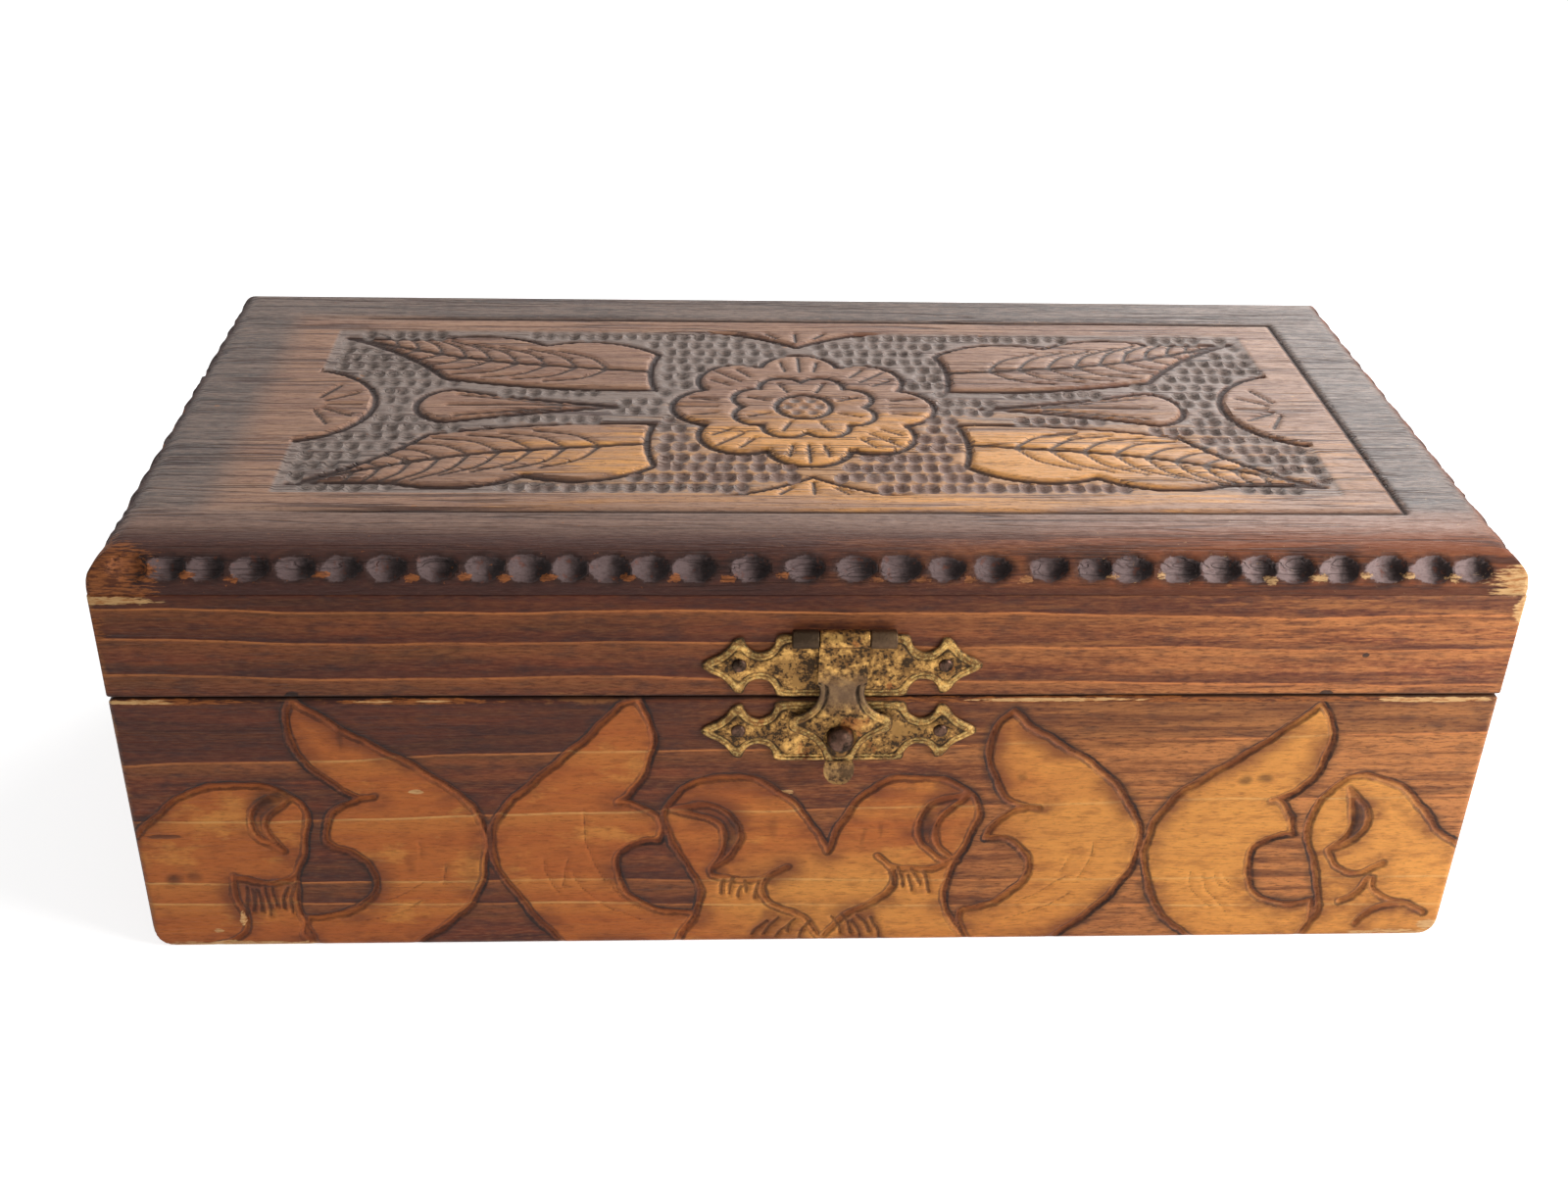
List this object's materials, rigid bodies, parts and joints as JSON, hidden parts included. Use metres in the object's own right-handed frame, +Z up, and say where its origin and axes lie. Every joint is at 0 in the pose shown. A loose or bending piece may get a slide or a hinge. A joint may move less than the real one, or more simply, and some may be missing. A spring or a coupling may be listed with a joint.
{
  "type": "pyrography box",
  "caption": "Oblong wooden box with burnt and carved decoration: a hinged lid with a rounded, dented edge, and a stamped brass hasp that drops over a stud.",
  "frame": {"origin": "centre of the underside, on the surface that the box stands on", "axes": "+X along the length, to the right seen from the front; -Y towards the front with the hasp; +Z up"},
  "size_m": [0.28, 0.1502, 0.096],
  "materials": {
    "stained_wood": "dark brown stain under worn satin varnish",
    "plain_wood": "bare aged softwood",
    "brass": "stamped sheet with dark patina in the hollows",
    "dark_brass": "dull brown tarnish",
    "steel": "dull wire"
  },
  "bodies": {
    "base": {"base_front_board": "stained_wood", "base_back_board": "stained_wood", "base_left_board": "stained_wood", "base_right_board": "stained_wood", "bottom_board": "plain_wood", "bottom_brads": "steel", "catch_plate": "brass", "catch_stud": "dark_brass", "catch_plate_pins": "dark_brass", "hinge_left_base_leaf": "brass", "hinge_right_base_leaf": "brass", "hinge_left_pin": "brass", "hinge_right_pin": "brass", "hinge_base_nails": "dark_brass"},
    "lid": {"lid_top_board": "stained_wood", "lid_front_rail": "stained_wood", "lid_back_rail": "stained_wood", "lid_left_rail": "stained_wood", "lid_right_rail": "stained_wood", "hinge_left_lid_leaf": "brass", "hinge_right_lid_leaf": "brass", "hinge_lid_nails": "dark_brass", "hasp_plate": "brass", "hasp_plate_pins": "dark_brass", "hasp_pin": "brass"},
    "hasp": {"hasp_strap": "brass"}
  },
  "joints": [
    {"name": "lid_hinge", "type": "hinge", "parent": "base", "child": "lid", "pos_m": [0, 0.07205, 0.0642], "axis": [-1, 0, 0], "range_deg": [0, 110]},
    {"name": "hasp_swing", "type": "hinge", "parent": "lid", "child": "hasp", "pos_m": [0.0047, -0.0722, 0.0793], "axis": [-1, 0, 0], "range_deg": [0, 170]}
  ]
}
